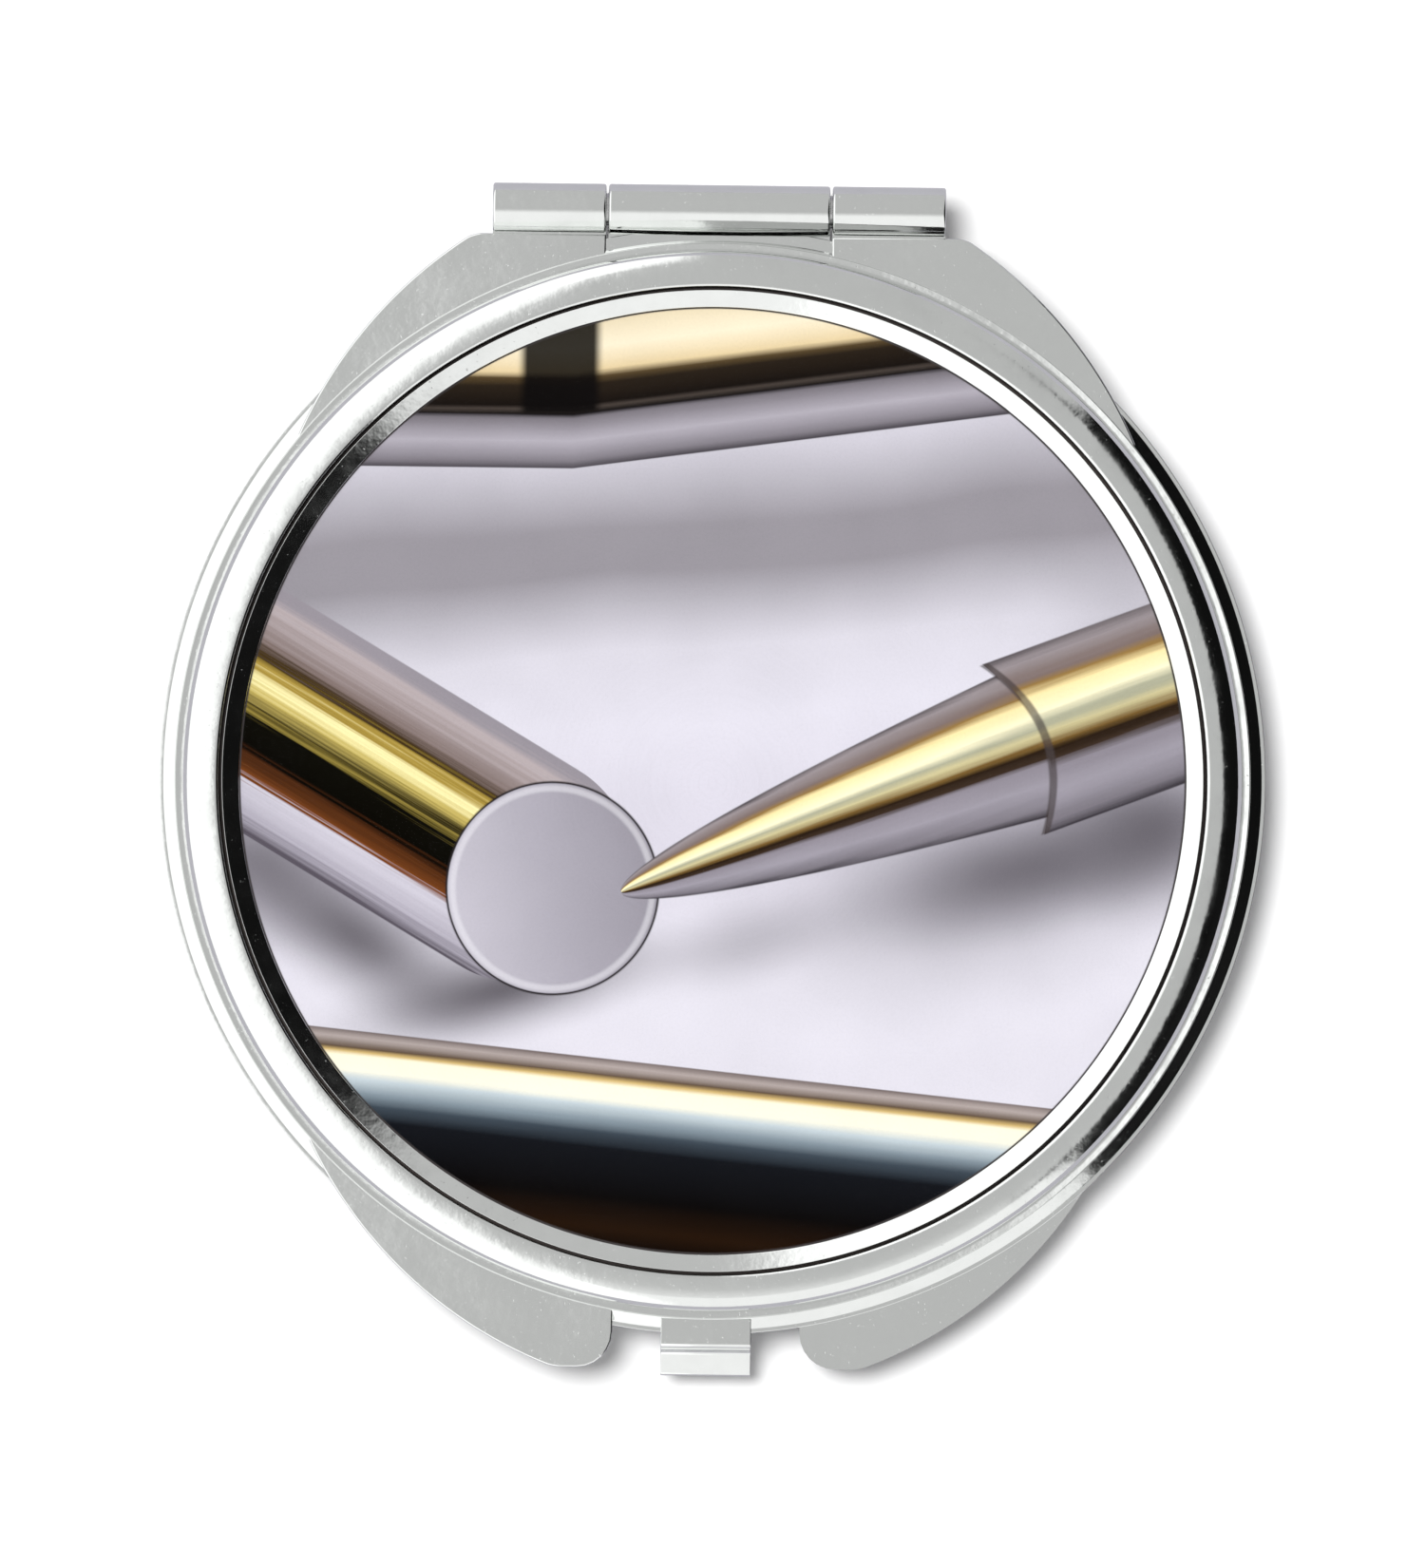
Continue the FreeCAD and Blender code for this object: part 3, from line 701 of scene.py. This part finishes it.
def foam_material():
    material, shader = new_material("white_foam")
    cells = shader.noise(3.5, 3.0)
    shader.surface(
        Base_Color=shader.mix(cells, grey(0.7), grey(0.88)), Roughness=0.9,
        Normal=shader.bump(cells, 0.05),
    )
    return material


def insert_metal_material():
    material, shader = new_material("insert_metal")
    rolling = shader.noise(1.5, 3.0)
    shader.surface(
        Base_Color=shader.mix(rolling, grey(0.58), grey(0.72)), Metallic=1.0,
        Roughness=shader.smooth(rolling, 0.3, 0.7, 0.3, 0.42),
    )
    return material


# The printed picture: four plain polished rods lying on pale satin, with soft shadows


def turned(x, y, point, degrees):
    """Distances along and across a line through a point, turned anticlockwise from the X axis."""
    lengthways = math.cos(math.radians(degrees))
    sideways = math.sin(math.radians(degrees))
    dx = x - point[0]
    dy = y - point[1]
    return dx * lengthways + dy * sideways, dy * lengthways - dx * sideways


def streaks(shader, along, across, fineness):
    """Long fine lines that run with a rod, from -1 to 1."""
    stretched = shader.node("ShaderNodeCombineXYZ", {0: along * 0.035, 1: across * fineness})
    return shader.noise(1.0, 3.0, vector=stretched, roughness=0.6) * 2.0 - 1.0


def picture_ground(shader, x, y):
    level = (y - x * 0.1 + 28.0) / 56.0
    drift = shader.noise(0.05, 1.0) - 0.5
    satin = shader.ramp(level + drift * 0.06, [
        (0.20, paint(222, 219, 229)),
        (0.30, paint(226, 223, 233)),
        (0.44, paint(214, 210, 222)),
        (0.56, paint(222, 219, 230)),
        (0.64, paint(214, 211, 221)),
        (0.73, paint(150, 146, 153)),
        (0.78, paint(150, 146, 153)),
        (0.86, paint(205, 202, 212)),
    ])
    shadows = [
        ((-12.0, -12.3), 14, 13.0, 3.6, 0.95),
        ((-20.7, -9.4), -31, 11.0, 4.5, 0.9),
        ((-26.5, -5.0), -31, 9.0, 5.5, 0.8),
        ((18.5, -4.9), 14, 14.0, 4.8, 0.85),
        ((16.0, -6.0), 14, 20.0, 9.0, 0.45),
        ((26.0, -2.5), 14, 9.0, 6.5, 0.9),
        ((24.0, 9.0), 40, 8.0, 6.0, 0.25),
        ((2.0, -9.5), 16, 9.0, 3.0, 0.35),
    ]
    for point, degrees, length, width, depth in shadows:
        along, across = turned(x, y, point, degrees)
        distance = ((along / length) * (along / length) + (across / width) * (across / width)).math("SQRT")
        satin = shader.mix(shader.smooth(distance, 1.0, 0.0) * depth, satin, paint(92, 88, 95))
    return satin


def top_bar(shader, x, y, below):
    """A thick bar across the top: satin steel under brass, with a dark band round it."""
    edge = (x + 8.4).math("MAXIMUM", 0.0) * 0.137 + 18.2
    up = y - edge
    lines = streaks(shader, x, up, 1.5)
    level = (up + lines * 0.12) / 10.0
    metal = shader.ramp(level, [
        (0.000, paint(66, 62, 68)),
        (0.045, paint(128, 123, 131)),
        (0.160, paint(176, 171, 181)),
        (0.290, paint(120, 115, 122)),
        (0.318, paint(20, 17, 17)),
        (0.345, paint(70, 62, 57)),
        (0.365, paint(24, 19, 16)),
        (0.480, paint(40, 32, 24)),
        (0.525, paint(84, 68, 44)),
        (0.560, paint(226, 204, 160)),
        (0.700, paint(246, 234, 206)),
        (0.900, paint(226, 210, 176)),
    ])
    band = shader.smooth(abs(x + 9.2), 2.6, 1.9) * shader.smooth(up, 3.0, 3.4)
    metal = shader.mix(band * 0.97, metal, paint(14, 12, 12))
    return shader.mix(shader.smooth(up, -0.05, 0.05), below, metal)


def bottom_bar(shader, x, y, below):
    """A broad bar across the foot, brass at its crest and dark towards the edge."""
    along, across = turned(x, y, (-23.5, -14.6), -5.7)
    lines = streaks(shader, along, across, 1.3)
    level = (lines * 0.16 - across) / 13.0
    metal = shader.ramp(level, [
        (0.000, paint(110, 98, 96)),
        (0.035, paint(176, 164, 160)),
        (0.075, paint(96, 78, 62)),
        (0.095, paint(214, 184, 120)),
        (0.115, paint(255, 250, 222)),
        (0.175, paint(250, 246, 226)),
        (0.215, paint(196, 208, 214)),
        (0.280, paint(128, 142, 152)),
        (0.330, paint(62, 72, 82)),
        (0.400, paint(20, 22, 27)),
        (0.620, paint(10, 8, 8)),
        (0.760, paint(36, 21, 10)),
        (0.860, paint(8, 6, 6)),
        (1.000, paint(22, 13, 8)),
    ])
    return shader.mix(shader.smooth(across, 0.05, -0.05), below, metal)


def left_rod(shader, x, y, below):
    """A brass rod from the left, cut off square, its steel end towards the eye."""
    half_width = 6.7
    along, across = turned(x, y, (-9.3, -6.4), -30.7)
    lines = streaks(shader, along, across, 3.5)
    level = (across + lines * 0.9) / (2 * half_width) + 0.5
    metal = shader.ramp(level, [
        (0.00, paint(88, 82, 92)),
        (0.07, paint(176, 171, 184)),
        (0.20, paint(206, 202, 214)),
        (0.225, paint(120, 66, 30)),
        (0.30, paint(70, 38, 18)),
        (0.34, paint(8, 7, 4)),
        (0.44, paint(12, 11, 6)),
        (0.47, paint(150, 132, 62)),
        (0.50, paint(34, 28, 12)),
        (0.55, paint(196, 176, 96)),
        (0.61, paint(250, 240, 178)),
        (0.66, paint(172, 146, 66)),
        (0.71, paint(60, 44, 20)),
        (0.76, paint(128, 112, 108)),
        (0.90, paint(182, 170, 172)),
        (0.97, paint(150, 144, 152)),
    ])
    curve = (1.0 - (across / half_width) * (across / half_width)).math("MAXIMUM", 0.0).math("SQRT")
    shoulder = along - curve * half_width + 2.3
    body = shader.smooth(abs(across), half_width + 0.05, half_width - 0.05)
    body = body * shader.smooth(shoulder, 0.05, -0.05)
    picture = shader.mix(body, below, metal)
    collar = shader.smooth(abs(shoulder - 0.35), 0.45, 0.2) * body
    picture = shader.mix(collar * 0.85, picture, paint(26, 22, 22))
    face = ((along * along) + (across * across)).math("SQRT")
    tone = shader.ramp((across + along + 9.0) / 18.0, [
        (0.0, paint(196, 192, 203)),
        (0.5, paint(172, 168, 179)),
        (1.0, paint(148, 144, 154)),
    ])
    tone = shader.mix(shader.smooth(abs(face - 5.85), 0.3, 0.05) * 0.4, tone, paint(238, 236, 242))
    picture = shader.mix(shader.smooth(face, 6.35, 6.2), picture, paint(40, 36, 38))
    return shader.mix(shader.smooth(face, 6.2, 6.1), picture, tone)


def right_rod(shader, x, y, below):
    """A steel and brass rod from the right, tapered to a blunt point, with a sleeve over it."""
    seam = 26.4
    along, across = turned(x, y, (-5.3, -6.6), 20.7)
    taper = (along.math("MAXIMUM", 0.001) / seam).math("POWER", 0.55) * 4.55
    past = shader.smooth(along + abs(across) * abs(across) * 0.07, seam - 0.05, seam + 0.05)
    width = taper.math("MINIMUM", 4.6) * (1.0 - past) + past * 5.3
    lines = streaks(shader, along, across, 1.2)
    level = (across / width + lines * 0.10) * 0.5 + 0.5
    metal = shader.ramp(level, [
        (0.00, paint(58, 54, 60)),
        (0.06, paint(122, 117, 126)),
        (0.20, paint(158, 153, 164)),
        (0.33, paint(142, 136, 146)),
        (0.37, paint(60, 46, 36)),
        (0.43, paint(40, 28, 18)),
        (0.47, paint(120, 92, 48)),
        (0.52, paint(206, 196, 150)),
        (0.58, paint(172, 172, 148)),
        (0.64, paint(255, 248, 210)),
        (0.74, paint(252, 232, 172)),
        (0.79, paint(150, 118, 66)),
        (0.84, paint(126, 110, 106)),
        (0.95, paint(152, 143, 146)),
        (1.00, paint(84, 78, 82)),
    ])
    edge = shader.smooth(abs(across) - width, 0.06, -0.06) * shader.smooth(along, 0.0, 0.1)
    picture = shader.mix(edge, below, metal)
    sleeve = shader.smooth(abs(along + abs(across) * abs(across) * 0.07 - seam - 0.1), 0.35, 0.15)
    sleeve = sleeve * shader.smooth(abs(across), 5.35, 5.2)
    return shader.mix(sleeve * 0.75, picture, paint(70, 62, 62))


def picture_material():
    material, shader = new_material("printed_picture")
    x, y, _ = shader.axes()
    picture = picture_ground(shader, x, y)
    for rod in (top_bar, bottom_bar, left_rod, right_rod):
        picture = rod(shader, x, y, picture)
    radius = (x * x + y * y).math("SQRT")
    picture = shader.mix(shader.smooth(radius, 27.6, 27.7), picture, paint(70, 66, 66))
    grain = shader.noise(7.0, 2.0)
    shader.surface(
        Base_Color=shader.mix(shader.smooth(grain, 0.3, 0.8) * 0.04, picture, grey(0.0)),
        Roughness=shader.smooth(grain, 0.3, 0.7, 0.4, 0.5), Specular_IOR_Level=0.0,
    )
    return material


def film_material():
    """A clear protective film, with the faintest haze."""
    material, shader = new_material("clear_film")
    haze = shader.smooth(shader.noise(0.2, 2.0), 0.2, 0.8, 0.01, 0.03)
    shader.surface(Base_Color=grey(0.02), Roughness=0.06, Alpha=haze)
    return material


# The pieces

chrome = chrome_material("case_chrome", (0.8, 0.815, 0.8), 1.0)
steel = steel_material()
silver = mirror_material()
plastic = plastic_material()
foam = foam_material()

lid_case(chrome)
base_case(chrome)
bezel(chrome_material("bezel_chrome", (0.83, 0.845, 0.83), 0.3))
pin(steel)
flat_mirror(silver)
bowed_mirror(silver)
mirror_frame("lid_mirror_frame", "lid", "lid_mirror_ring", plastic)
mirror_frame("base_mirror_frame", "base", "base_mirror_ring", plastic)

for node, material in {
    "print_sheet": picture_material(),
    "print_cover": film_material(),
    "insert_plate": insert_metal_material(),
    "insert_adhesive": foam,
    "lid_mirror_pad": foam,
    "base_mirror_pad": foam,
}.items():
    frame["nodes"][node].data.materials.clear()
    frame["nodes"][node].data.materials.append(material)


# Floor, light and camera


def make_floor():
    """A pale floor, with a painted reflection: the chrome mirrors it in a darker grey-lilac than it has.
    """
    bm = bmesh.new()
    bmesh.ops.create_grid(bm, x_segments=1, y_segments=1, size=2.5)
    floor = make_object("floor", bm)
    material, shader = new_material("pale_floor")
    fibres = shader.noise(0.4, 3.0)
    paper = shader.mix(fibres, grey(0.9), grey(0.92))
    # Painted reflection: glossy rays see the floor in a darker grey-lilac, while the camera sees pale
    # paper.
    mirrored_ray = shader.node("ShaderNodeLightPath", output=3)
    painted_reflection_tone = (0.42, 0.41, 0.45, 1)
    shader.surface(Base_Color=shader.mix(mirrored_ray, paper, painted_reflection_tone), Roughness=0.85)
    floor.data.materials.append(material)


def make_world():
    """A grey ceiling with white sheets left and in front, and a black board to the right."""
    world = bpy.data.worlds.new("studio")
    bpy.context.scene.world = world
    shader = Shader(world)
    direction = shader.node("ShaderNodeTexCoord", output=0)
    x, y = shader.node("ShaderNodeSeparateXYZ", {0: direction}, output=(0, 1))
    overhead = 0.58
    left = shader.smooth(-x, 0.025, 0.08) * 0.75
    front = shader.smooth(-y, 0.03, 0.4) * 0.5
    sheets = left.math("MAXIMUM", front) + overhead
    board = shader.smooth(x, 0.13, 0.17) * shader.smooth(abs(y) - x, 0.06, -0.02)
    ceiling = sheets * (1.0 - board * 0.99)
    camera_ray, diffuse_ray = shader.node("ShaderNodeLightPath", output=(0, 2))
    mirrored = shader.node("ShaderNodeBackground", {"Color": (1, 1, 1, 1), "Strength": ceiling})
    fill = shader.node("ShaderNodeBackground", {"Color": (1, 1, 1, 1), "Strength": 0.4})
    white = shader.node("ShaderNodeBackground", {"Color": (1, 1, 1, 1), "Strength": 1.0})
    lit = shader.node("ShaderNodeMixShader", {0: diffuse_ray, 1: mirrored, 2: fill})
    seen = shader.node("ShaderNodeMixShader", {0: camera_ray, 1: lit, 2: white})
    shader.node("ShaderNodeOutputWorld", {"Surface": seen})


def make_key_light():
    light = bpy.data.lights.new("key_light", "SUN")
    light.energy = 3.1
    light.angle = math.radians(25)
    sun = bpy.data.objects.new("key_light", light)
    bpy.context.scene.collection.objects.link(sun)
    towards = Vector((0.25, -0.2, -1)).normalized()
    sun.rotation_euler = towards.to_track_quat("-Z", "Y").to_euler()
    sun.visible_glossy = False


def make_camera():
    """Straight down through a long lens, with the case turned a little in the picture."""
    height = 1.0
    picture_height = 0.0921
    data = bpy.data.cameras.new("camera")
    data.sensor_fit = "VERTICAL"
    data.sensor_height = 24
    data.lens = data.sensor_height * (height - 0.0038) / picture_height
    camera = bpy.data.objects.new("camera", data)
    camera.location = (0, -0.00018, height)
    camera.rotation_euler = (0, 0, math.radians(0.7))
    bpy.context.scene.collection.objects.link(camera)
    bpy.context.scene.camera = camera


make_floor()
make_world()
make_key_light()
make_camera()
bpy.context.scene.view_settings.view_transform = "Standard"
